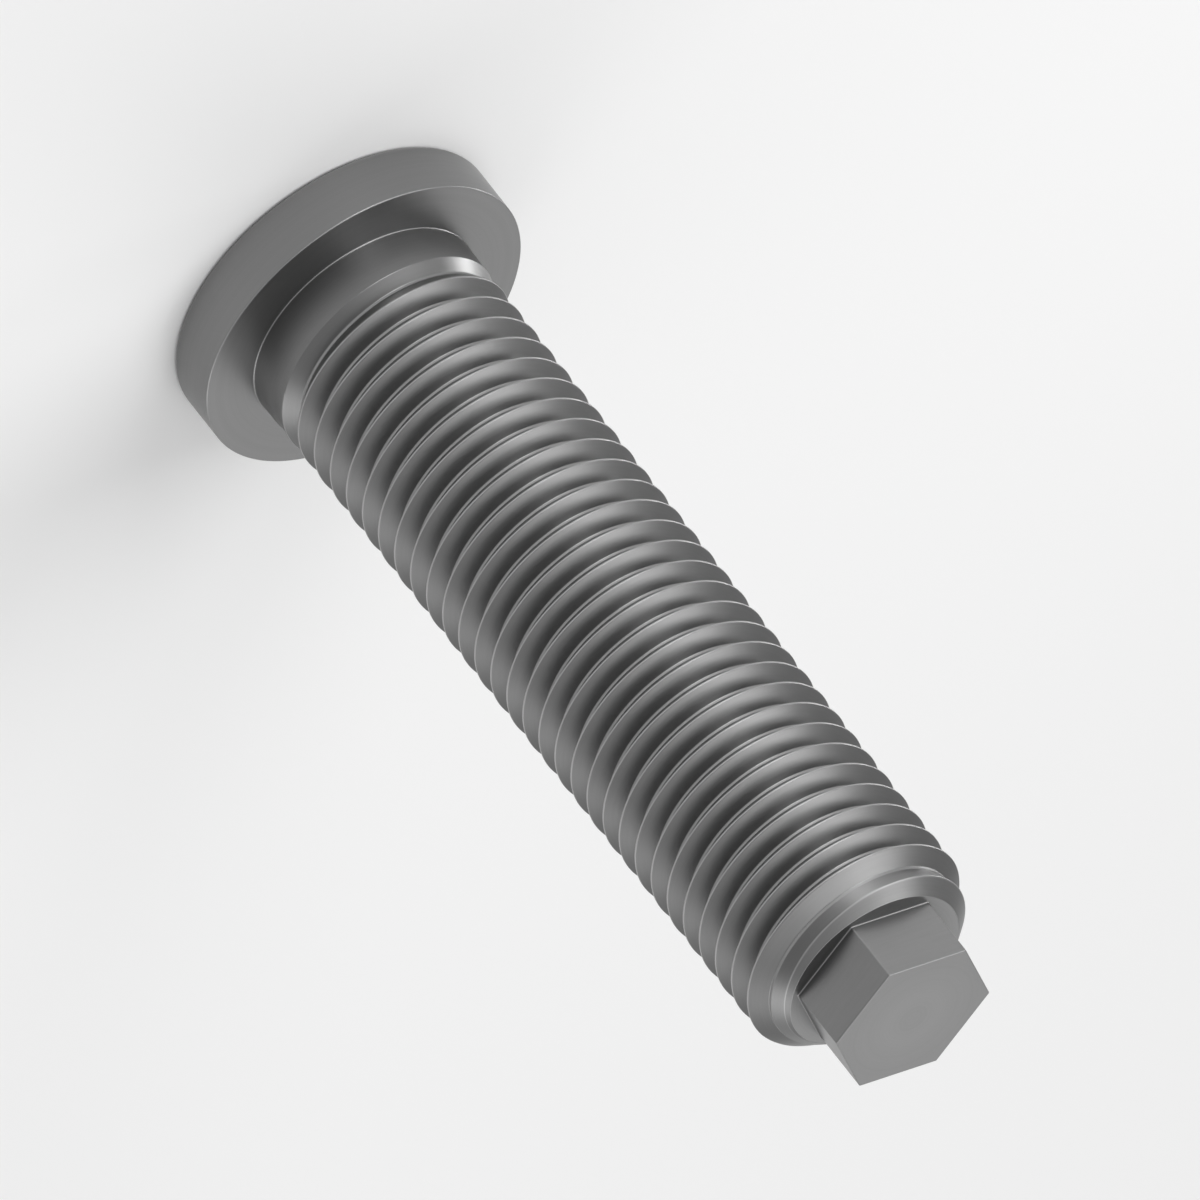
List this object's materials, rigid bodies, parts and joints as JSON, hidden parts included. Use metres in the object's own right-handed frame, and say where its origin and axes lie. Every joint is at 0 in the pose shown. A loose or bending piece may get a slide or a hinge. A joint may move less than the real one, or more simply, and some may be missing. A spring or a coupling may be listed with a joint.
{
  "type": "grub screw",
  "caption": "Steel grub screw with a flat disc flange, a short plain neck, a fine right-hand thread, a chamfered end and an external hexagon drive.",
  "frame": {"origin": "centre of the flange's flat back face, on which the screw stands", "axes": "+Z along the screw's axis from the flange to the hexagon; the hexagon has corners on the Y axis and flats facing +X and -X"},
  "size_m": [0.0114, 0.0114, 0.0339],
  "materials": {
    "steel": "plain turned steel, satin, dark neutral grey, clean and without wear"
  },
  "bodies": {
    "root": {"grub_screw": "steel"}
  },
  "joints": []
}
